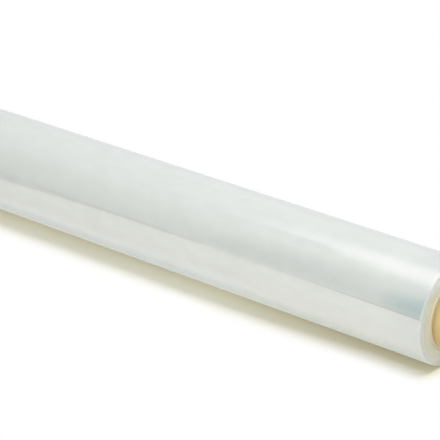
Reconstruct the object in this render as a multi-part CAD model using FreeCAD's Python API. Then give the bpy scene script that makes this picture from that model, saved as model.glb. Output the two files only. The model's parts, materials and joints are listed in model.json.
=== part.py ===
"""Hand roll of stretch wrap film, lying on its side.

Clear film is wound tight on a card tube. The film's end faces show its turns as a fine spiral, its free end
is a thin ledge along the front of the roll, and its own weight presses a small flat where it lies.
Sizes are in millimetres and degrees. The roll's axis runs along X, +Z is up, the front is towards -Y, and the
origin is on the surface that the roll lies on, under the middle of the roll.
"""

import FreeCAD, Part
import math
import os

# Card core
CORE_BORE = 50.8  # bore, which a dispenser's spindle or hand grips go into
CORE_WALL = 2.5  # wound plies of card
CORE_OVERHANG = 1.0  # how far the core stands out of the film at each end
CORE_EDGE = 0.3  # bevel that the cutting blade leaves on the core's edges

# Wound film
FILM_WIDTH = 500.0  # width of the film, over the turns that stand proud at each end
FILM_BUILD = 11.4  # depth of film on the core, at the free end
TAIL_STEP = 0.25  # ledge at the free end, where the last turns stop
TAIL_ANGLE = 77.5  # where the free end lies, from straight up towards the front
FLAT_WIDTH = 10.0  # flat that the roll's weight presses where it lies

# Turns that show on the end faces
TURN_COUNT = 5  # proud turns of the spiral, each standing for about a hundred turns of thin film
TURN_SHARE = 0.5  # width of a proud turn, as a share of the spacing between two
TURN_RISE = 0.25  # how far a proud turn stands out of the end face
END_LAND = 0.5  # plain film inside the first turn and outside the last

HALF_TURN = math.pi
CORE_RADIUS = CORE_BORE / 2 + CORE_WALL
ROLL_RADIUS = CORE_RADIUS + FILM_BUILD
CORE_LENGTH = FILM_WIDTH + 2 * CORE_OVERHANG

# The outermost turn is two half circles, whose centres lie a quarter of the step to each side of the axis
FIRST_HALF_RADIUS = ROLL_RADIUS - 0.75 * TAIL_STEP
TAIL = math.radians(TAIL_ANGLE)
AXIS_HEIGHT = math.sqrt(FIRST_HALF_RADIUS**2 - (FLAT_WIDTH / 2) ** 2) + TAIL_STEP / 4 * math.cos(TAIL)

ROLL_AXIS = FreeCAD.Vector(1, 0, 0)


def at(x, radius, turn, shift=0.0):
    """A point on a cross-section: radius out from a centre that is shifted along the line through the free end,
    at the given turn from the free end, which grows from the front down and round the back."""
    angle = TAIL + turn
    across = -radius * math.sin(angle) - shift * math.sin(TAIL)
    up = radius * math.cos(angle) + shift * math.cos(TAIL)
    return FreeCAD.Vector(x, across, AXIS_HEIGHT + up)


def half_circle(x, radius, index, spacing):
    """Half turn number index of a spiral that grows by spacing each full turn."""
    centre = -spacing / 4 if index % 2 == 0 else spacing / 4
    start = index * HALF_TURN
    points = [at(x, radius, start + part * HALF_TURN, centre) for part in (0, 0.5, 1)]
    return Part.Arc(*points).toShape()


def spiral(x, start_radius, spacing, half_turns):
    """A spiral of half circles that run smoothly into each other, from start_radius outwards."""
    first = start_radius + spacing / 4
    return [half_circle(x, first + i * spacing / 2, i, spacing) for i in range(half_turns)]


def ends_of(arcs):
    """The first and last point of a chain of arcs."""
    return arcs[0].firstVertex(True).Point, arcs[-1].lastVertex(True).Point


def film_outline(x):
    """The roll's outer edge in cross-section: one turn of the film, closed by the ledge at its free end."""
    turn = spiral(x, ROLL_RADIUS - TAIL_STEP, TAIL_STEP, 2)
    foot, top = ends_of(turn)
    ledge = Part.makeLine(top, foot)
    return Part.Wire(turn + [ledge])


def proud_turns(x, outwards):
    """The turns that stand out of the end face at x, as one spiral strip that rises outwards."""
    room = FILM_BUILD - TAIL_STEP - 2 * END_LAND
    spacing = room / (TURN_COUNT + TURN_SHARE)
    inner_start = CORE_RADIUS + END_LAND
    outer_start = inner_start + spacing * TURN_SHARE
    inner = spiral(x, inner_start, spacing, 2 * TURN_COUNT)
    outer = spiral(x, outer_start, spacing, 2 * TURN_COUNT)
    inner_ends = ends_of(inner)
    outer_ends = ends_of(outer)
    caps = [Part.makeLine(a, b) for a, b in zip(inner_ends, outer_ends)]
    edges = Part.__sortEdges__(inner + outer + caps)
    strip = Part.Face(Part.Wire(edges))
    return strip.extrude(ROLL_AXIS * (outwards * TURN_RISE))


def below_the_floor():
    """The space under the surface that the roll lies on, wide and deep enough to cut the whole roll flat."""
    size = 4 * ROLL_RADIUS
    length = 2 * FILM_WIDTH
    corner = FreeCAD.Vector(-length / 2, -size / 2, -size)
    return Part.makeBox(length, size, size, corner)


def make_film():
    """The wound film as one solid, with the core's space left open through it."""
    face_x = FILM_WIDTH / 2 - TURN_RISE
    section = Part.Face(film_outline(-face_x))
    bore_start = FreeCAD.Vector(-face_x, 0, AXIS_HEIGHT)
    body = section.extrude(ROLL_AXIS * (2 * face_x))
    body = body.cut(Part.makeCylinder(CORE_RADIUS, 2 * face_x, bore_start, ROLL_AXIS))
    turns = [proud_turns(side * face_x, side) for side in (-1, 1)]
    return body.fuse(turns).cut(below_the_floor()).Solids[0]


def make_core():
    """The card tube, turned from its wall's section, with the blade's bevel on its four edges."""
    end = CORE_LENGTH / 2
    bore = CORE_BORE / 2
    wall = [
        (-end, bore + CORE_EDGE),
        (-end, CORE_RADIUS - CORE_EDGE),
        (-end + CORE_EDGE, CORE_RADIUS),
        (end - CORE_EDGE, CORE_RADIUS),
        (end, CORE_RADIUS - CORE_EDGE),
        (end, bore + CORE_EDGE),
        (end - CORE_EDGE, bore),
        (-end + CORE_EDGE, bore),
    ]
    corners = [FreeCAD.Vector(x, 0, AXIS_HEIGHT + radius) for x, radius in wall]
    profile = Part.Face(Part.makePolygon(corners + corners[:1]))
    axis_point = FreeCAD.Vector(0, 0, AXIS_HEIGHT)
    return profile.revolve(axis_point, ROLL_AXIS, 360).Solids[0]


def main():
    os.makedirs("parts", exist_ok=True)
    pieces = {"wound_film": make_film(), "card_core": make_core()}
    for name, solid in pieces.items():
        solid.exportStep(f"parts/{name}.step")
        box = solid.BoundBox
        print(name, "valid", solid.isValid(), "volume", round(solid.Volume, 1), "faces", len(solid.Faces))
        print("  x", round(box.XMin, 3), round(box.XMax, 3), "y", round(box.YMin, 3), round(box.YMax, 3))
        print("  z", round(box.ZMin, 3), round(box.ZMax, 3))


main()
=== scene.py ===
# %% [markdown]
# # A hand roll of stretch wrap film
# Clear film is wound tight on a cardboard tube, and the roll lies on white paper in soft studio light. This
# lesson builds it in Blender: first the camera, then the wound film, the tube, their finishes, and last the
# paper, the lamps, and the flag and the softbox that the gloss mirrors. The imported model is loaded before
# all else, because every piece takes its size and place from it.

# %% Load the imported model
import bmesh
import bpy
import json
import math
import random
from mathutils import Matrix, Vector, noise


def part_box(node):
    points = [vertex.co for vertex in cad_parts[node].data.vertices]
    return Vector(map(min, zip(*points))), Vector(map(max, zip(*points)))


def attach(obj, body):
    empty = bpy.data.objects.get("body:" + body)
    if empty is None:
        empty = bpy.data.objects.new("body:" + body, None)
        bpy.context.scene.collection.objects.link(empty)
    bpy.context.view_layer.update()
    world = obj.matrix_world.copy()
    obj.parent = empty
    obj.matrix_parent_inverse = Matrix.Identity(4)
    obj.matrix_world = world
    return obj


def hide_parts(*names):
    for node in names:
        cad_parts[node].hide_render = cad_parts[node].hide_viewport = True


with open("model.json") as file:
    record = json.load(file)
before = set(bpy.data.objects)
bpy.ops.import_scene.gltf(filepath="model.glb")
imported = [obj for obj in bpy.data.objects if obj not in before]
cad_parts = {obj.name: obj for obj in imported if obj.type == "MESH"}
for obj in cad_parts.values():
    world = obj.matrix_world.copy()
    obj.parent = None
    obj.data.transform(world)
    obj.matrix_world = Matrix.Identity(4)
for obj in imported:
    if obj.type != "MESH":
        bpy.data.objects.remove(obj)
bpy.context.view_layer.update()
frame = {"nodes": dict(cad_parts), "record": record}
MM = 0.001
print("packed nodes", sorted(frame["nodes"]))

# %% [markdown]
# ## Read the sizes
# A roll has few sizes that matter: the height of its axis, the core's radii and the film's radius and
# width. They could be typed in again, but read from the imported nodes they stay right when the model
# changes. Only the free end of the film can't be read from a box, so its ledge and its angle are named
# here.

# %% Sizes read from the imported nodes
film_low, film_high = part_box("wound_film")
core_low, core_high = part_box("card_core")
bore_mount = next(m for m in frame["record"]["mounts"] if m["name"] == "core_bore")

AXIS_HEIGHT = bore_mount["pos_m"][2]
CORE_RADIUS = core_high.z - AXIS_HEIGHT
BORE_RADIUS = bore_mount["dims"]["r_mm"] * MM
CORE_END = core_high.x
FILM_END = film_high.x

TAIL_STEP = 0.25 * MM  # ledge where the last turns of film stop
TAIL_ANGLE = math.radians(76.7)  # at the right end, from straight up towards the front
TAIL_SKEW = math.radians(2.5)  # how much higher the free end lies at the left end
TOP_RADIUS = film_high.z - AXIS_HEIGHT
ROLL_RADIUS = TOP_RADIUS + TAIL_STEP * TAIL_ANGLE / math.tau
axis_point = Vector((0, 0, AXIS_HEIGHT))
print("axis height", round(AXIS_HEIGHT / MM, 2), "roll radius", round(ROLL_RADIUS / MM, 2), "mm")

# %% [markdown]
# ## The camera
# The photograph was taken with a long lens from the front right, a little above the roll. The place, the
# angles and the lens come from the roll's outlines: where its edges would meet, and how wide the end looks.
# A camera in Blender looks along its own -Z, so `to_track_quat` turns the line of sight into its rotation.

# %% Camera
CAMERA_PLACE = Vector((0.9855, -1.1526, 0.7247))
CAMERA_AZIMUTH = math.radians(39.37)
CAMERA_ELEVATION = math.radians(24.34)
SENSOR_WIDTH = 36.0
PHOTO_WIDTH = 440
FOCAL_PIXELS = 2164

line_of_sight = Vector((
    -math.sin(CAMERA_AZIMUTH) * math.cos(CAMERA_ELEVATION),
    math.cos(CAMERA_AZIMUTH) * math.cos(CAMERA_ELEVATION),
    -math.sin(CAMERA_ELEVATION),
))
camera_data = bpy.data.cameras.new("camera")
camera_data.sensor_width = SENSOR_WIDTH
camera_data.lens = SENSOR_WIDTH * FOCAL_PIXELS / PHOTO_WIDTH
camera = bpy.data.objects.new("camera", camera_data)
camera.location = CAMERA_PLACE
camera.rotation_euler = line_of_sight.to_track_quat("-Z", "Y").to_euler()
bpy.context.scene.collection.objects.link(camera)
bpy.context.scene.camera = camera
bpy.context.scene.view_settings.view_transform = "Standard"
print("lens", round(camera_data.lens, 1), "mm")

# %% [markdown]
# ## Picking by place
# In Blender one clicks on the vertices and edges that the next operator should work on. A script says the
# same in words: `pick` selects what a small test says yes to, and nothing else. The other helpers open a
# new piece for editing and close it again, with its place in its mesh and its object at the origin.

# %% Modelling helpers
SMALL = 0.01 * MM


def start_piece(name, place=(0, 0, 0)):
    """A new mesh object that is one vertex at its own origin, open in edit mode."""
    bpy.ops.object.select_all(action="DESELECT")
    bpy.ops.mesh.primitive_plane_add(size=2 * SMALL, location=place)
    piece = bpy.context.object
    piece.name = piece.data.name = name
    bpy.ops.object.mode_set(mode="EDIT")
    bpy.ops.mesh.select_mode(type="VERT")
    bpy.ops.mesh.select_all(action="SELECT")
    bpy.ops.mesh.merge(type="CENTER")
    return piece


def pick(kind, wanted):
    """Selects, in edit mode, the VERT, EDGE or FACE items that wanted says yes to, and nothing else."""
    bpy.ops.mesh.select_mode(type=kind)
    bpy.ops.mesh.select_all(action="DESELECT")
    data = bpy.context.edit_object.data
    mesh = bmesh.from_edit_mesh(data)
    items = {"VERT": mesh.verts, "EDGE": mesh.edges, "FACE": mesh.faces}[kind]
    found = [item for item in items if wanted(item)]
    for item in found:
        item.select_set(True)
    mesh.select_flush_mode()
    bmesh.update_edit_mesh(data)
    return len(found)


def both_ends(edge, test):
    """Whether a test holds for both vertices of an edge."""
    return all(test(vertex.co) for vertex in edge.verts)


def close_piece(piece):
    """Leaves edit mode, and puts the place that the object has into its mesh."""
    bpy.ops.object.mode_set(mode="OBJECT")
    bpy.ops.object.select_all(action="DESELECT")
    piece.select_set(True)
    bpy.ops.object.transform_apply(location=True, rotation=True, scale=True)
    faces = len(piece.data.polygons)
    print(piece.name, "at", tuple(piece.location), "vertices", len(piece.data.vertices), "faces", faces)


def apply_modifier(piece, kind, **settings):
    """Adds one modifier with these settings and applies it."""
    modifier = piece.modifiers.new(kind.lower(), kind)
    for name, value in settings.items():
        setattr(modifier, name, value)
    bpy.ops.object.modifier_apply(modifier=modifier.name)


# %% [markdown]
# ## Wind the film
# On the real machine a sheet of film turns round the core until the roll is thick enough, and is then cut.
# One turn at the outside is enough to model that. A single vertex is spun round the axis without joining
# its ends, so the ring stays open where the film was cut. Extruded along the roll it is a sheet, and its
# long edges are subdivided twice, because Blender makes at most 100 cuts at once.

# %% The outer turn as an open sheet
TURN_STEPS = 240
LENGTH_CUTS = (3, 59)  # cuts in each of two goes, which make 240 strips
ROUND_EDGE = 0.8 * MM  # the film's edges are soft, so the end of the roll is a little round

film = start_piece("film_winding", axis_point)
skin_end = FILM_END - ROUND_EDGE
foot_radius = ROLL_RADIUS - TAIL_STEP
foot_angle = TAIL_ANGLE - TAIL_SKEW / 2
tail_foot = Vector((-skin_end, -foot_radius * math.sin(foot_angle), foot_radius * math.cos(foot_angle)))
bpy.ops.mesh.select_all(action="SELECT")
bpy.ops.transform.translate(value=tail_foot)
bpy.ops.mesh.spin(steps=TURN_STEPS, angle=math.tau, center=axis_point, axis=(1, 0, 0), use_auto_merge=False)
bpy.ops.mesh.select_all(action="SELECT")
bpy.ops.mesh.extrude_region_move(TRANSFORM_OT_translate={"value": (2 * skin_end, 0, 0)})
for cuts in LENGTH_CUTS:
    pick("EDGE", lambda edge: abs(edge.verts[0].co.x - edge.verts[1].co.x) > SMALL)
    bpy.ops.mesh.subdivide(number_cuts=cuts)
bpy.ops.object.mode_set(mode="OBJECT")
print("sheet vertices", len(film.data.vertices))

# %% [markdown]
# ## Grow by one turn
# Each turn of film lies on the one below, so after one turn the film is a little further out. A vertex
# group holds how much of the turn lies behind each vertex, and a Displace modifier moves it out along its
# normal by that share of the ledge. The two edges of the sheet lie on each other until then, so each vertex
# is looked at from inside one of its faces, which tells the first column from the last.

# %% Growth over the turn
TOWARDS_CENTRE = 0.2  # how far into a face its vertices are looked at


def turn_share(co):
    """How much of the turn from the tail's foot lies behind a point, from 0 to 1."""
    angle = math.atan2(-co.y, co.z) - foot_angle
    return (angle / math.tau) % 1.0


def turn_shares(piece):
    """The share for each vertex of the sheet, with 0 on its first column and 1 on its last."""
    shares = {}
    for face in piece.data.polygons:
        for index in face.vertices:
            inside = piece.data.vertices[index].co.lerp(face.center, TOWARDS_CENTRE)
            shares[index] = round(TURN_STEPS * turn_share(inside)) / TURN_STEPS
    return shares


def displace(piece, name, weights, distance):
    """Moves the piece's surface along its normals, each vertex by its weight's share of a distance."""
    group = piece.vertex_groups.new(name=name)
    for index, weight in weights.items():
        group.add([index], weight, "REPLACE")
    settings = {"strength": distance, "mid_level": 0.0, "direction": "NORMAL"}
    apply_modifier(piece, "DISPLACE", vertex_group=group.name, **settings)
    piece.vertex_groups.remove(piece.vertex_groups[name])


face = film.data.polygons[0]
if face.normal.dot(Vector((0, face.center.y, face.center.z))) < 0:
    film.data.flip_normals()
shares = turn_shares(film)
displace(film, "growth", shares, TAIL_STEP)
radii = [math.hypot(v.co.y, v.co.z) for v in film.data.vertices]
print("radius from", round(min(radii) / MM, 3), "to", round(max(radii) / MM, 3), "mm")

# %% [markdown]
# ## Hoops and dents
# A film is never quite even in thickness, so a roll has faint hoops where it is thicker, the same all the
# way round, and long soft dents where air was trapped between the turns. They are far too low to see as
# shape, but they bend what the gloss mirrors. Noise with a fixed place gives the same relief on each run,
# and the sheet's two edges get the same relief because it only asks for a place.

# %% Relief of the outer turn
RELIEF = 0.10 * MM  # most that the relief goes in
HOOPS = [(61 * MM, 0.50), (23 * MM, 0.22), (9 * MM, 0.05)]  # size along the roll, and share of the relief
DENT_ALONG = 70 * MM
DENT_ROUND = 26 * MM
DENT_SHARE = 0.23
HOOP_PLACE = 3.7  # places in the noise that give this relief
DENT_PLACE = 5.1


def noise_at(x, y, z):
    """Smooth noise at a place, from 0 to 1."""
    return 0.5 + 0.5 * noise.noise(Vector((x, y, z)))


def relief_at(co):
    """How deep the surface lies at a point, from 0 to 1."""
    depth = 0.0
    for size, share in HOOPS:
        depth += share * noise_at(co.x / size, HOOP_PLACE, share)
    along = co.x / DENT_ALONG + DENT_PLACE
    return depth + DENT_SHARE * noise_at(along, co.y / DENT_ROUND, co.z / DENT_ROUND)


displace(film, "relief", {v.index: relief_at(v.co) for v in film.data.vertices}, -RELIEF)

# %% [markdown]
# ## Let the free end run askew
# The film is cut by hand, so its free end is never quite square to the roll. The roll is round, so twisting
# the whole sheet a few degrees moves only the ledge. Simple Deform twists about the object's own origin,
# which `start_piece` put on the roll's axis.

# %% Twist of the free end
apply_modifier(film, "SIMPLE_DEFORM", deform_method="TWIST", deform_axis="X", angle=TAIL_SKEW)
tail_angles = [
    math.degrees(math.atan2(-v.co.y, v.co.z))
    for v in film.data.vertices
    if shares[v.index] == 0
]
print("free end from", round(min(tail_angles), 2), "to", round(max(tail_angles), 2), "degrees")

# %% [markdown]
# ## Close the winding
# `bridge_edge_loops` joins the sheet's two long borders with a narrow strip, which is the ledge of the free
# end. The end faces are made the way one draws rings on a pot: the open loop at the roll's end is extruded
# and scaled towards the axis again and again, each time with a small step along the roll. First come three
# steps for the soft round edge, then bands of turns that stand a little further out or in than their
# neighbours, as they do on a real roll. The two last loops are bridged along the core, and the winding is
# closed.

# %% Ledge, end faces and inside of the winding
TURN_BANDS = 17
BAND_DEPTH = 0.22 * MM  # most that a band of turns lies back from the end of the roll
BAND_EDGE = 0.03 * MM
BAND_WIDTHS = (0.5, 1.5)  # narrowest and widest band, as a share of the mean one
BAND_SEED = 11
EDGE_STEPS = 3
random_bands = random.Random(BAND_SEED)


def end_profile():
    """Steps from the skin's edge to the core, each a distance out along the roll and a radius."""
    steps = []
    for number in range(1, EDGE_STEPS + 1):
        angle = number / EDGE_STEPS * math.pi / 2
        steps.append((ROUND_EDGE * math.sin(angle), foot_radius - ROUND_EDGE * (1 - math.cos(angle))))
    widths = [random_bands.uniform(*BAND_WIDTHS) for _ in range(TURN_BANDS)]
    outside = foot_radius - ROUND_EDGE
    share_width = (outside - CORE_RADIUS) / sum(widths)
    for width in widths:
        inside = outside - width * share_width
        out = ROUND_EDGE - random_bands.uniform(0, BAND_DEPTH)
        steps.append((out, outside - BAND_EDGE))
        steps.append((out, inside + BAND_EDGE))
        outside = inside
    steps.append((ROUND_EDGE - BAND_DEPTH, CORE_RADIUS))
    return steps


def extrude_rings(side, start, steps):
    """Extrudes the picked loop to one side of the roll, through steps of a distance out and a radius."""
    out, radius = start
    for next_out, next_radius in steps:
        step_out = (side * (next_out - out), 0, 0)
        bpy.ops.mesh.extrude_region_move(TRANSFORM_OT_translate={"value": step_out})
        scale = next_radius / radius
        bpy.ops.transform.resize(value=(1, scale, scale), center_override=axis_point)
        out, radius = next_out, next_radius


bpy.ops.object.mode_set(mode="EDIT")
pick("EDGE", lambda edge: edge.is_boundary and abs(edge.verts[0].co.x - edge.verts[1].co.x) > SMALL)
bpy.ops.mesh.bridge_edge_loops()
for side in (-1, 1):
    pick("EDGE", lambda edge: edge.is_boundary and both_ends(edge, lambda co: co.x * side > skin_end - SMALL))
    extrude_rings(side, (0, foot_radius), end_profile())
pick("EDGE", lambda edge: edge.is_boundary)
bpy.ops.mesh.bridge_edge_loops()

# %% [markdown]
# ## Let it lie
# A roll of film is soft, so its own weight presses a small flat where it lies. Scaling the lowest vertices
# to nothing along Z, about the floor, does the same to the mesh. Then the normals are turned outwards, and
# the piece is closed: its object goes to the origin and its place into its mesh.

# %% Flat spot, normals and smooth shading
SMOOTH_BELOW = math.radians(40)

pressed = pick("VERT", lambda vertex: vertex.co.z < -AXIS_HEIGHT)
bpy.ops.transform.resize(value=(1, 1, 0), center_override=(0, 0, 0))
bpy.ops.mesh.select_all(action="SELECT")
bpy.ops.mesh.normals_make_consistent(inside=False)
open_edges = pick("EDGE", lambda edge: edge.is_boundary)
close_piece(film)
bpy.ops.object.shade_smooth_by_angle(angle=SMOOTH_BELOW)
print("pressed vertices", pressed, "open edges", open_edges)

# %% [markdown]
# ## The card tube
# The core is wound from strips of card, and its cut ends show the plies as fine rings. One section through
# its wall is drawn vertex by vertex and spun round the axis. `draw_line` extrudes a vertex from point to
# point, each one a place along the roll and a radius. The section ends where it began, so merging doubles
# closes it.

# %% Tube with plies at its cut ends
TUBE_STEPS = 128
CUT_BEVEL = 0.3 * MM
PLY = 0.5 * MM
PLY_GROOVE = 0.05 * MM
PLY_COUNT = 4


def draw_line(points):
    """Extrudes the lone vertex of a new piece through points of the half plane above the axis."""
    x, radius = points[0]
    bpy.ops.transform.translate(value=(x, 0, radius))
    for next_x, next_radius in points[1:]:
        step = (next_x - x, 0, next_radius - radius)
        bpy.ops.mesh.extrude_region_move(TRANSFORM_OT_translate={"value": step})
        x, radius = next_x, next_radius


def cut_end():
    """The right cut end from the bore out to the outer bevel: plies with a fine groove between them."""
    points = [(CORE_END - CUT_BEVEL, BORE_RADIUS), (CORE_END, BORE_RADIUS + CUT_BEVEL)]
    for number in range(1, PLY_COUNT + 1):
        radius = BORE_RADIUS + number * PLY
        points.append((CORE_END, radius - PLY_GROOVE))
        points.append((CORE_END - PLY_GROOVE, radius))
        points.append((CORE_END, radius + PLY_GROOVE))
    points.append((CORE_END, CORE_RADIUS - CUT_BEVEL))
    points.append((CORE_END - CUT_BEVEL, CORE_RADIUS))
    return points


def merge_doubles():
    """Merges the vertices of the open piece that lie on each other."""
    bpy.ops.mesh.select_all(action="SELECT")
    bpy.ops.mesh.remove_doubles(threshold=SMALL)


tube = start_piece("card_tube", axis_point)
right_end = cut_end()
left_end = [(-x, radius) for x, radius in reversed(right_end)]
draw_line(right_end + left_end + right_end[:1])
bpy.ops.mesh.select_all(action="SELECT")
bpy.ops.mesh.spin(steps=TUBE_STEPS, angle=math.tau, center=axis_point, axis=(1, 0, 0), use_auto_merge=True)
merge_doubles()
bpy.ops.mesh.normals_make_consistent(inside=False)
bpy.ops.object.mode_set(mode="OBJECT")
print("tube faces", len(tube.data.polygons))

# %% [markdown]
# ## The gap between the turns of card
# The innermost strip is 105 mm wide. Wound without overlap, its width and the bore's girth give how far it
# climbs in a turn, and a narrow gap stays open between its turns, like a thread in the bore. A small square
# section is wound up by the Screw modifier, capped, and cut out of the wall by a Boolean modifier.

# %% Thread in the bore
STRIP_WIDTH = 105 * MM
GAP_WIDTH = 1.0 * MM
GAP_DEPTH = 0.2 * MM
GAP_STEPS = 96

girth = math.tau * BORE_RADIUS
pitch = girth * math.tan(math.asin(STRIP_WIDTH / girth))
turns = math.ceil(2 * CORE_END / pitch) + 1
gap_start = -turns * pitch / 2
gap_section = [
    (gap_start, BORE_RADIUS - GAP_DEPTH),
    (gap_start + GAP_WIDTH, BORE_RADIUS - GAP_DEPTH),
    (gap_start + GAP_WIDTH, BORE_RADIUS + GAP_DEPTH),
    (gap_start, BORE_RADIUS + GAP_DEPTH),
    (gap_start, BORE_RADIUS - GAP_DEPTH),
]
gap = start_piece("gap", axis_point)
draw_line(gap_section)
merge_doubles()
bpy.ops.object.mode_set(mode="OBJECT")
winding = {"axis": "X", "angle": math.tau, "screw_offset": pitch, "iterations": turns}
apply_modifier(gap, "SCREW", steps=GAP_STEPS, render_steps=GAP_STEPS, **winding)
bpy.ops.object.mode_set(mode="EDIT")
merge_doubles()
for side in (-1, 1):
    pick("EDGE", lambda edge: edge.is_boundary and both_ends(edge, lambda co: co.x * side > 0))
    bpy.ops.mesh.edge_face_add()
bpy.ops.mesh.select_all(action="SELECT")
bpy.ops.mesh.normals_make_consistent(inside=False)
bpy.ops.object.mode_set(mode="OBJECT")
print("pitch", round(pitch / MM, 1), "mm, turns", turns, "faces", len(gap.data.polygons))

bpy.context.view_layer.objects.active = tube
apply_modifier(tube, "BOOLEAN", operation="DIFFERENCE", object=gap, solver="EXACT")
bpy.data.objects.remove(gap)
bpy.ops.object.mode_set(mode="EDIT")
open_edges = pick("EDGE", lambda edge: edge.is_boundary)
close_piece(tube)
bpy.ops.object.shade_smooth_by_angle(angle=SMOOTH_BELOW)
print("open edges", open_edges)

# %% [markdown]
# ## Shaders as sums
# Blender draws a shader as boxes and wires. Written out that way, even a small sum takes many lines, so
# `Value` wraps one socket and lets plain arithmetic stand for the boxes: `2 * a + b` adds the nodes and
# joins them. `node` adds any other kind of node, and `plug` gives a socket either a wire or a number.

# %% A socket that takes part in sums
def plug(socket, value):
    """Joins a value's wire to a socket, or sets the socket to a plain number or colour."""
    if isinstance(value, Value):
        socket.id_data.links.new(value.socket, socket)
    else:
        socket.default_value = value


class Value:
    """What a socket gives out, as something that sums can be written with."""

    def __init__(self, socket):
        self.socket = socket

    def node(self, kind, settings, inputs, output=0):
        """Adds a node to the same shader and returns one of its outputs."""
        made = self.socket.id_data.nodes.new(kind)
        for name, value in settings.items():
            setattr(made, name, value)
        for name, value in inputs.items():
            plug(made.inputs[name], value)
        return Value(made.outputs[output])

    def sum(self, operation, first, second=0.0, clamp=False):
        settings = {"operation": operation, "use_clamp": clamp}
        return self.node("ShaderNodeMath", settings, {0: first, 1: second})

    def __add__(self, other):
        return self.sum("ADD", self, other)

    def __sub__(self, other):
        return self.sum("SUBTRACT", self, other)

    def __rsub__(self, other):
        return self.sum("SUBTRACT", other, self)

    def __mul__(self, other):
        return self.sum("MULTIPLY", self, other)

    def __truediv__(self, other):
        return self.sum("DIVIDE", self, other)

    def __pow__(self, other):
        return self.sum("POWER", self, other)

    def __abs__(self):
        return self.sum("ABSOLUTE", self)

    __radd__ = __add__
    __rmul__ = __mul__

    def part(self, axis):
        """One coordinate of a place."""
        return self.node("ShaderNodeSeparateXYZ", {}, {0: self}, "XYZ".index(axis))

    def between(self, low, high):
        """0 up to low, 1 from high on, and an even rise between them."""
        return self.sum("DIVIDE", self - low, high - low, clamp=True)

    def mix(self, first, second):
        """The first colour where this is 0 and the second where it is 1."""
        inputs = {0: self, 6: first, 7: second}
        return self.node("ShaderNodeMix", {"data_type": "RGBA"}, inputs, 2)

    def noise(self, scale, detail=2.0):
        """Smooth noise over a place, from 0 to 1."""
        inputs = {"Vector": self, "Scale": scale, "Detail": detail}
        return self.node("ShaderNodeTexNoise", {}, inputs)

    def stretched(self, x, y, z):
        """The place with its coordinates scaled, so that noise over it runs long in one direction."""
        return self.node("ShaderNodeMapping", {}, {"Vector": self, "Scale": (x, y, z)})

    def bump(self, distance):
        """A surface normal that is bent by this value as a height, up to a distance."""
        return self.node("ShaderNodeBump", {}, {"Height": self, "Distance": distance})

    def is_ray(self, kind):
        """1 for one kind of ray and 0 for the others."""
        return self.node("ShaderNodeLightPath", {}, {}, kind)

    def distance_from_axis(self):
        """How far a place is from the roll's axis."""
        up = self.part("Z") - AXIS_HEIGHT
        across = self.part("Y")
        return (up * up + across * across) ** 0.5


def start_shader(name):
    """A new material, its Principled shader's inputs and the place on the piece as a Value."""
    material = bpy.data.materials.new(name)
    material.use_nodes = True
    nodes = material.node_tree.nodes
    place = Value(nodes.new("ShaderNodeTexCoord").outputs["Object"])
    return material, nodes["Principled BSDF"].inputs, place

# %% [markdown]
# ## The film's side
# One layer of this film is clear, but hundreds of them on card make a pale greenish grey that is glossy on
# top, with milky clouds where air lies between the turns. The layers under the first one mirror light too,
# so the gloss is stronger than one surface's would be: a higher index of refraction stands for that. Its
# sheen wavers a little from hoop to hoop, fine wrinkles run round the roll, and the last centimetres at
# each end are painted greyer, as shade for the light that leaks out there. A thin line of painted shade lies
# under the free end, and above it at the right end a patch of painted shade is darker and bluer. All of
# this is mixed from masks that read the place on the roll, so it keeps its place and size in every view.

# %% Film, seen from the side
FILM_GREY = (0.570, 0.602, 0.568, 1)
FILM_PALE = (0.690, 0.718, 0.688, 1)
FILM_END_PAINTED_GREY = (0.580, 0.615, 0.592, 1)
FILM_IOR = 2.5
END_FADE = (0.215, 0.250)  # where the painted greyer shade at each end begins and is full, in metres along the roll
HOOP_STRETCH = (1, 0.02, 0.02)  # hardly any change round the roll, so the spots become hoops
HOOP_SCALE = 28
CLOUD_STRETCH = (0.6, 1, 1)
CLOUD_SCALE = 110
CLOUD_DETAIL = 3
HOOP_PART = 0.3  # what the hoops and the clouds add to the mottle
CLOUD_PART = 0.7
WRINKLE_STRETCH = (0.35, 1, 1)
WRINKLE_SCALE = 160
WRINKLE_HEIGHT = 0.005 * MM
SMOOTHEST = 0.06  # least roughness, and what a hoop adds to it
HOOP_ROUGHNESS = 0.05
TAIL_SHADE = (0.42, 0.47, 0.47, 1)
TAIL_SHADE_WIDTH = 0.5 * MM
TAIL_SHADE_FROM = (0.12, 0.19)  # where the painted shade under the free end begins and is full
PAINTED_BLUE_SHADE = (0.495, 0.582, 0.572, 1)  # painted shade, darker and bluer, above the free end at the right end
BLUE_SHADE_FROM = (0.212, 0.239)  # where the painted blue shade by the free end begins and is full
BLUE_SHADE_RISE = (0.5 * MM, 5 * MM)  # how far above the free end the painted blue shade begins and is full
BLUE_SHADE_FALL = (9 * MM, 17 * MM)  # how far above it the painted blue shade begins to fade and is gone

film_side, side_inputs, place = start_shader("film_side")
hoops = place.stretched(*HOOP_STRETCH).noise(HOOP_SCALE)
clouds = place.stretched(*CLOUD_STRETCH).noise(CLOUD_SCALE, CLOUD_DETAIL)
wrinkles = place.stretched(*WRINKLE_STRETCH).noise(WRINKLE_SCALE)
mottle = HOOP_PART * hoops + CLOUD_PART * clouds
near_end = abs(place.part("X")).between(*END_FADE)
# painted shade: the film is greyer near each end, for the light that leaks out there
film_grey = near_end.mix(mottle.mix(FILM_GREY, FILM_PALE), FILM_END_PAINTED_GREY)
to_left = 0.5 - place.part("X") / (2 * FILM_END)
round_axis = place.sum("ARCTAN2", place.part("Y") * -1, place.part("Z") - AXIS_HEIGHT)
from_tail = round_axis - (TAIL_ANGLE - TAIL_SKEW * to_left)
tail_distance = abs(from_tail) * ROLL_RADIUS
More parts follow.
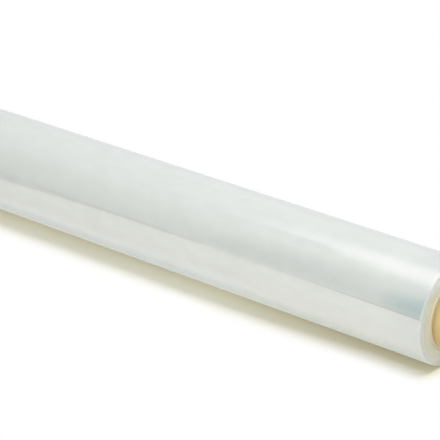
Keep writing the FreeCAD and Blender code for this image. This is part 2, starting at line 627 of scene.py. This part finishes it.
# painted shade: a thin darker line in the colour under the free end
tail_shade = (1 - tail_distance.between(0, TAIL_SHADE_WIDTH)) * place.part("X").between(*TAIL_SHADE_FROM)
above_tail = from_tail * -ROLL_RADIUS
# painted shade: a darker, bluer patch above the free end near the right end
blue_shade_height = above_tail.between(*BLUE_SHADE_RISE) * (1 - above_tail.between(*BLUE_SHADE_FALL))
blue_shade = blue_shade_height * place.part("X").between(*BLUE_SHADE_FROM)
plug(side_inputs["Base Color"], tail_shade.mix(blue_shade.mix(film_grey, PAINTED_BLUE_SHADE), TAIL_SHADE))
plug(side_inputs["IOR"], FILM_IOR)
plug(side_inputs["Roughness"], SMOOTHEST + HOOP_ROUGHNESS * hoops)
plug(side_inputs["Normal"], wrinkles.bump(WRINKLE_HEIGHT))

# %% [markdown]
# ## The film's ends
# On the end faces one looks at the cut edges of all turns at once. They are matt, creamier towards the core
# and greyer towards the outside. The top turns are painted paler, as painted light that comes through the
# film, and the lowest are painted darker and warmer, as painted shade by the paper. The turns show as fine
# rings: noise that depends on the distance from the axis alone.

# %% Film, seen from the end
END_CREAM = (0.66, 0.65, 0.52, 1)
END_GREY = (0.65, 0.67, 0.62, 1)
END_ROUGHNESS = 0.42
RING_SCALE = 1400
RING_DETAIL = 3
RING_DARK = (0.3, 0.3, 0.25, 1)
RING_CONTRAST = 0.10
RING_HEIGHT = 0.05 * MM
GREY_FROM = ROLL_RADIUS - 6.5 * MM  # radii between which the cream turns grey
GREY_TO = ROLL_RADIUS - 2.5 * MM
END_PAINTED_LIGHT = (0.80, 0.82, 0.76, 1)
PAINTED_LIGHT_HEIGHT = (60 * MM, 71 * MM)  # heights between which the painted light makes the turns paler
# painted shade for the lowest turns near the paper, darker and warmer
END_PAINTED_SHADE = (0.49, 0.49, 0.38, 1)
PAINTED_SHADE_BELOW = 8.5 * MM
SIDE_ALONG_EDGE = 0.5  # shares of the round edge, along the roll and inwards, with the side's finish
SIDE_INTO_EDGE = 0.2

film_ends, end_inputs, place = start_shader("film_ends")
radius = place.distance_from_axis()
rings = radius.node("ShaderNodeCombineXYZ", {}, {0: radius}).noise(RING_SCALE, RING_DETAIL)
cream_to_grey = radius.between(GREY_FROM, GREY_TO).mix(END_CREAM, END_GREY)
# painted light: the end turns grow paler towards the top
with_painted_light = place.part("Z").between(*PAINTED_LIGHT_HEIGHT).mix(cream_to_grey, END_PAINTED_LIGHT)
# painted shade: the end turns grow darker and warmer near the floor
with_painted_shade = place.part("Z").between(0, PAINTED_SHADE_BELOW).mix(END_PAINTED_SHADE, with_painted_light)
plug(end_inputs["Base Color"], (rings * RING_CONTRAST).mix(with_painted_shade, RING_DARK))
plug(end_inputs["Roughness"], END_ROUGHNESS)
plug(end_inputs["Normal"], rings.bump(RING_HEIGHT))

ends_from = skin_end + SIDE_ALONG_EDGE * ROUND_EDGE
ends_inside = foot_radius - SIDE_INTO_EDGE * ROUND_EDGE
on_ends = 0
film.data.materials.append(film_side)
film.data.materials.append(film_ends)
for face in film.data.polygons:
    out_of_axis = math.hypot(face.center.y, face.center.z - AXIS_HEIGHT)
    if abs(face.center.x) > ends_from and out_of_axis < ends_inside:
        face.material_index = 1
        on_ends += 1
print("faces on the ends", on_ends)

# %% [markdown]
# ## The card
# Core board is plain brown card, matt, with short fibres that lie along the strip. The strip runs up the
# bore like a thread, so the fibres' noise is stretched along it. The cut ends are greyer, because the blade
# opened the plies there. A mask finds them by their radius and their place along the roll.

# %% Card
CARD_BROWN = (0.72, 0.59, 0.31, 1)
CARD_DARK = (0.66, 0.52, 0.26, 1)
CARD_CUT = (0.41, 0.375, 0.265, 1)
CARD_ROUGHNESS = 0.85
CARD_SPECULAR = 0.25
FIBRE_STRETCH = (0.35, 1, 1)
FIBRE_SCALE = 900
FIBRE_DETAIL = 4
FIBRE_HEIGHT = 0.04 * MM
BLOTCH_SCALE = 35
FIBRE_PART = 0.45  # what the fibres and the blotches add to the darker brown
BLOTCH_PART = 0.4
CUT_WALL = (BORE_RADIUS + 0.1 * MM, BORE_RADIUS + 0.3 * MM)  # radii from the bore's finish to the cut's
CUT_ALONG = (CORE_END - 1.6 * MM, CORE_END - 1.4 * MM)

card, card_inputs, place = start_shader("core_card")
fibres = place.stretched(*FIBRE_STRETCH).noise(FIBRE_SCALE, FIBRE_DETAIL)
blotches = place.noise(BLOTCH_SCALE)
brown = (FIBRE_PART * fibres + BLOTCH_PART * blotches).mix(CARD_BROWN, CARD_DARK)
in_wall = place.distance_from_axis().between(*CUT_WALL)
at_cut = in_wall * abs(place.part("X")).between(*CUT_ALONG)
plug(card_inputs["Base Color"], at_cut.mix(brown, CARD_CUT))
plug(card_inputs["Roughness"], CARD_ROUGHNESS)
plug(card_inputs["Specular IOR Level"], CARD_SPECULAR)
plug(card_inputs["Normal"], fibres.bump(FIBRE_HEIGHT))
tube.data.materials.append(card)

# %% [markdown]
# ## The paper
# The roll lies on white paper, which the camera sees as plain white with one soft shadow in front of the
# roll. There the paper has a little light of its own plus what falls on it, so the shadow keeps its warm
# tone. Behind the roll, beyond its ends and further in front, the paper is plain white. The gloss mirrors
# the same paper with values of its own, because the film also shows how the paper darkens far in front.
# Scattered light meets plain white paper, which throws it back on the roll.

# %% White paper
PAPER_SIZE = 6.0
PAPER_WHITE = (0.68, 0.64, 0.58, 1)
SHADOW_GLOW = (0.21, 0.155, 0.0, 1)
SHADOW_TINT = (0.84, 0.90, 1.0, 1)
SHADOW_GLOW_RIGHT = (0.06, 0.01, 0.0, 1)
SHADOW_TINT_RIGHT = (0.90, 0.92, 0.70, 1)
RIGHT_PART = (0.05, 0.20)  # where the painted shadow begins to darken and is darkest, in metres along the roll
MIRRORED_GLOW = (0.52, 0.52, 0.49, 1)
MIRRORED_GLOW_RIGHT = (0.38, 0.43, 0.44, 1)
MIRRORED_PAPER = (1.12, 1.09, 1.07, 1)
MIRRORED_FAR = (1.00, 0.96, 0.92, 1)
FAR_PAPER = (0.12, 0.22)  # distance in front, where the mirrored paper begins to darken and is darkest
BEHIND = (0, 0.03)  # along Y, where the paper behind the roll turns plain
BEYOND_END = (0.250, 0.262)  # distance from the middle, where it turns plain beyond the ends
PLAIN_FRONT = (0.034, 0.054)  # distance in front, where the shadow ends and the plain paper begins
NARROWER = 0.012  # how much nearer to the roll the painted shadow edge lies at its right end
WHITE = (1, 1, 1, 1)
BLACK = (0, 0, 0, 1)


def is_seen(start):
    """1 for rays from the camera or from a gloss, 0 for light that only gets scattered."""
    glossy_ray = start.is_ray("Is Glossy Ray")
    clear_ray = start.is_ray("Is Transmission Ray")
    glossy_or_clear = start.sum("MAXIMUM", glossy_ray, clear_ray)
    return start.sum("MAXIMUM", start.is_ray("Is Camera Ray"), glossy_or_clear)


bpy.ops.mesh.primitive_plane_add(size=PAPER_SIZE, location=(0, 0, 0))
paper = bpy.context.object
paper.name = "paper"
paper_white, paper_inputs, place = start_shader("white_paper")
seen = is_seen(place)
to_right = place.part("X").between(*RIGHT_PART)
in_front = NARROWER * to_right - place.part("Y")
behind = place.part("Y").between(*BEHIND)
beyond_end = abs(place.part("X")).between(*BEYOND_END)
plain = in_front.between(*PLAIN_FRONT) + behind + beyond_end
mirrored = place.is_ray("Is Glossy Ray")
# painted shadow: the paper's own light and colour make the shadow darker towards the right end
shadow_glow = to_right.mix(SHADOW_GLOW, SHADOW_GLOW_RIGHT)
mirrored_front = in_front.between(*FAR_PAPER).mix(MIRRORED_PAPER, MIRRORED_FAR)
plain_glow = mirrored.mix(WHITE, behind.mix(mirrored_front, WHITE))
mirrored_glow = to_right.mix(MIRRORED_GLOW, MIRRORED_GLOW_RIGHT)
glow = plain.mix(mirrored.mix(shadow_glow, mirrored_glow), plain_glow)
tint = plain.mix(to_right.mix(SHADOW_TINT, SHADOW_TINT_RIGHT), BLACK)
plug(paper_inputs["Emission Color"], seen.mix(BLACK, glow))
plug(paper_inputs["Emission Strength"], 1.0)
plug(paper_inputs["Base Color"], seen.mix(PAPER_WHITE, tint))
plug(paper_inputs["Roughness"], 1.0)
plug(paper_inputs["Specular IOR Level"], 0.0)
paper.data.materials.append(paper_white)

# %% [markdown]
# ## The sky
# What the camera sees beyond the paper is plain white. The gloss sees a sky that is a little darker in
# front and at the horizon, which gives the film its soft bands. The light that reaches the roll from all
# round is brighter near the horizon, which is what white walls close by do.

# %% Surroundings
SKY_TOP = (0.36, 0.38, 0.40, 1)
SKY_HORIZON = (0.72, 0.72, 0.72, 1)
MIRRORED_FRONT = (0.71, 0.73, 0.71, 1)
MIRRORED_BACK = (1.13, 1.13, 1.14, 1)
MIRRORED_LOW = (0.93, 0.95, 0.97, 1)
FRONT_TO_BACK = (-0.45, 0.75)  # along Y, where the mirrored sky begins to brighten and is brightest
LOW_TO_HIGH = (0, 0.3)  # how high the low part of the mirrored sky reaches

world = bpy.data.worlds.new("surroundings")
world.use_nodes = True
bpy.context.scene.world = world
direction = Value(world.node_tree.nodes.new("ShaderNodeTexCoord").outputs["Generated"])
height = direction.part("Z").between(0, 1)
sky = height.mix(SKY_HORIZON, SKY_TOP)
front_to_back = direction.part("Y").between(*FRONT_TO_BACK).mix(MIRRORED_FRONT, MIRRORED_BACK)
mirrored_sky = direction.part("Z").between(*LOW_TO_HIGH).mix(MIRRORED_LOW, front_to_back)
seen_sky = direction.is_ray("Is Glossy Ray").mix(WHITE, mirrored_sky)
plug(world.node_tree.nodes["Background"].inputs["Color"], is_seen(direction).mix(sky, seen_sky))

# %% [markdown]
# ## The lamps
# Three round lamps light the roll, and none of them shows in the gloss. The key lamp hangs over it and
# makes the soft shadow in front. A fill beside the camera lights the front. The third shines from the
# camera into the bore: light linking limits it to the tube, so it can't flatten the film.

# %% Lamps
LAMP_PLACE = Vector((0.35, 0.0, 1.6))
LAMP_SIZE = 0.95
LAMP_WATTS = 14.5
FILL_PLACE = Vector((1.58, -2.52, 0.37))
FILL_SIZE = 1.0
FILL_WATTS = 36.0
BORE_LAMP_SIZE = 0.3
BORE_LAMP_WATTS = 18.5


def add_lamp(name, place, aim, size, watts):
    """A round area lamp that shines towards a point and doesn't show in the gloss."""
    data = bpy.data.lights.new(name, "AREA")
    data.shape = "DISK"
    data.size = size
    data.energy = watts
    lamp = bpy.data.objects.new(name, data)
    lamp.location = place
    lamp.rotation_euler = (aim - place).to_track_quat("-Z", "Y").to_euler()
    lamp.visible_glossy = False
    bpy.context.scene.collection.objects.link(lamp)
    return lamp


straight_down = Vector((LAMP_PLACE.x, LAMP_PLACE.y, 0))
add_lamp("key_lamp", LAMP_PLACE, straight_down, LAMP_SIZE, LAMP_WATTS)
add_lamp("front_fill", FILL_PLACE, axis_point, FILL_SIZE, FILL_WATTS)
open_end = axis_point + Vector((CORE_END, 0, 0))
bore_lamp = add_lamp("bore_lamp", CAMERA_PLACE, open_end, BORE_LAMP_SIZE, BORE_LAMP_WATTS)
only_tube = bpy.data.collections.new("lit_by_bore_lamp")
only_tube.objects.link(tube)
bore_lamp.light_linking.receiver_collection = only_tube

# %% [markdown]
# ## The flag
# Beyond the paper's edge the film mirrors a darker room, which is why the band above the paper's mirror
# image is grey. One flag, bent round the paper's left and front edges, stands for it, and only the gloss
# sees it. It is darkest and bluest low down and in the middle of its length, and higher up it pales to the
# colour of the mirrored sky, so its upper edge doesn't show.

# %% Flag that only the gloss sees
FLAG_LINE = [  # its foot on the floor, from the left of the roll round to the front
    (-0.270, -0.10),
    (-0.278, -0.18),
    (-0.287, -0.28),
    (-0.309, -0.51),
    (-0.547, -0.95),
    (-0.650, -1.26),
    (-0.187, -0.71),
    (-0.083, -0.60),
    (0.270, -0.38),
]
FLAG_HEIGHT = 0.75
FAR_FROM = -0.8  # beyond this place along Y the flag stands higher
FAR_HEIGHT = 0.95  # how much higher
FLAG_DARK = (-0.22, -0.09)  # along X, where the flag begins to darken and is darkest
FLAG_PALE = (-0.02, 0.15)  # along X, where it begins to pale again and is pale
FLAG_GREY = (0.50, 0.51, 0.49, 1)
FLAG_BLUE = (0.00, 0.07, 0.10, 1)
RISE_FROM = 0.046  # the line that heights are measured against starts here and grows in front
RISE_SLOPE = 1.23
WHITE_SLOPE = 1.35  # height, as a share of that line, where the flag is as pale as the sky
MORE_AT_RIGHT = 1.0  # how much higher that is at the right
FAR_OFF = (0.35, 0.75)  # distance in front, where the flag begins to darken and is darkest
FAR_DARK_LOW = 0.1  # how much it darkens there near the floor, and how much more halfway up
FAR_DARK_HIGH = 0.55
DARK_FROM = (0.04, 0.26)  # heights between which the far part darkens
DARK_TO = (0.70, 1.05)  # heights between which it pales again


def only_in_gloss(thing):
    """Hides a stage object from everything but mirrored rays."""
    for ray in ("camera", "diffuse", "transmission", "volume_scatter", "shadow"):
        setattr(thing, "visible_" + ray, False)


flag = start_piece("flag")
first_x, first_y = FLAG_LINE[0]
bpy.ops.mesh.select_all(action="SELECT")
bpy.ops.transform.translate(value=(first_x, first_y, 0))
for (x, y), (next_x, next_y) in zip(FLAG_LINE, FLAG_LINE[1:]):
    bpy.ops.mesh.extrude_region_move(TRANSFORM_OT_translate={"value": (next_x - x, next_y - y, 0)})
bpy.ops.mesh.select_all(action="SELECT")
bpy.ops.mesh.extrude_region_move(TRANSFORM_OT_translate={"value": (0, 0, FLAG_HEIGHT)})
pick("VERT", lambda vertex: vertex.co.z > SMALL and vertex.co.y < FAR_FROM)
bpy.ops.transform.translate(value=(0, 0, FAR_HEIGHT))
close_piece(flag)

flag_shade, flag_inputs, place = start_shader("flag_shade")
ahead = RISE_FROM - RISE_SLOPE * place.part("Y")
far_off = (place.part("Y") * -1).between(*FAR_OFF)
mid_height = place.part("Z").between(*DARK_FROM) - place.part("Z").between(*DARK_TO)
far_dark = far_off * (FAR_DARK_LOW + FAR_DARK_HIGH * mid_height)
at_right = place.part("X").between(*FLAG_DARK) - place.part("X").between(*FLAG_PALE) + far_dark
rise = (place.part("Z") / ahead / (WHITE_SLOPE + MORE_AT_RIGHT * at_right)).between(0.0, 1.0)
low = at_right.mix(FLAG_GREY, FLAG_BLUE)
plug(flag_inputs["Emission Color"], (rise ** 2).mix(low, MIRRORED_FRONT))
plug(flag_inputs["Emission Strength"], 1.0)
plug(flag_inputs["Base Color"], BLACK)
plug(flag_inputs["Specular IOR Level"], 0.0)
flag.data.materials.append(flag_shade)
only_in_gloss(flag)

# %% [markdown]
# ## The softbox
# The bright band on the right half is the mirror image of a big round softbox over the roll. Its rim is
# see-through, so the band has no hard edge. Like the flag, it is there for the gloss alone, and the lamps
# do the lighting.

# %% Softbox that only the gloss sees
SOFTBOX_PLACE = Vector((0.08, -0.06, 1.0))
SOFTBOX_RADIUS = 0.66
SOFTBOX_FULL = 0.25  # radius up to which it is full, before it fades to its rim
SOFTBOX_CORNERS = 64
SOFTBOX_BRIGHT = (2.10, 1.97, 1.92, 1)

disc = {"vertices": SOFTBOX_CORNERS, "radius": SOFTBOX_RADIUS, "fill_type": "NGON"}
bpy.ops.mesh.primitive_circle_add(location=SOFTBOX_PLACE, **disc)
softbox = bpy.context.object
softbox.name = "softbox"
softbox_shade, softbox_inputs, place = start_shader("softbox_shade")
across = place.part("X")
along = place.part("Y")
from_centre = (across * across + along * along) ** 0.5
plug(softbox_inputs["Alpha"], 1 - from_centre.between(SOFTBOX_FULL, SOFTBOX_RADIUS))
plug(softbox_inputs["Emission Color"], SOFTBOX_BRIGHT)
plug(softbox_inputs["Emission Strength"], 1.0)
plug(softbox_inputs["Base Color"], BLACK)
plug(softbox_inputs["Specular IOR Level"], 0.0)
softbox.data.materials.append(softbox_shade)
only_in_gloss(softbox)

# %% [markdown]
# ## Hand over
# Each piece rides with the root and stands for its imported node.

# %% Hand over
for piece, node, material_slot in ((film, "wound_film", "film"), (tube, "card_core", "core")):
    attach(piece, "root")
    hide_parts(node)
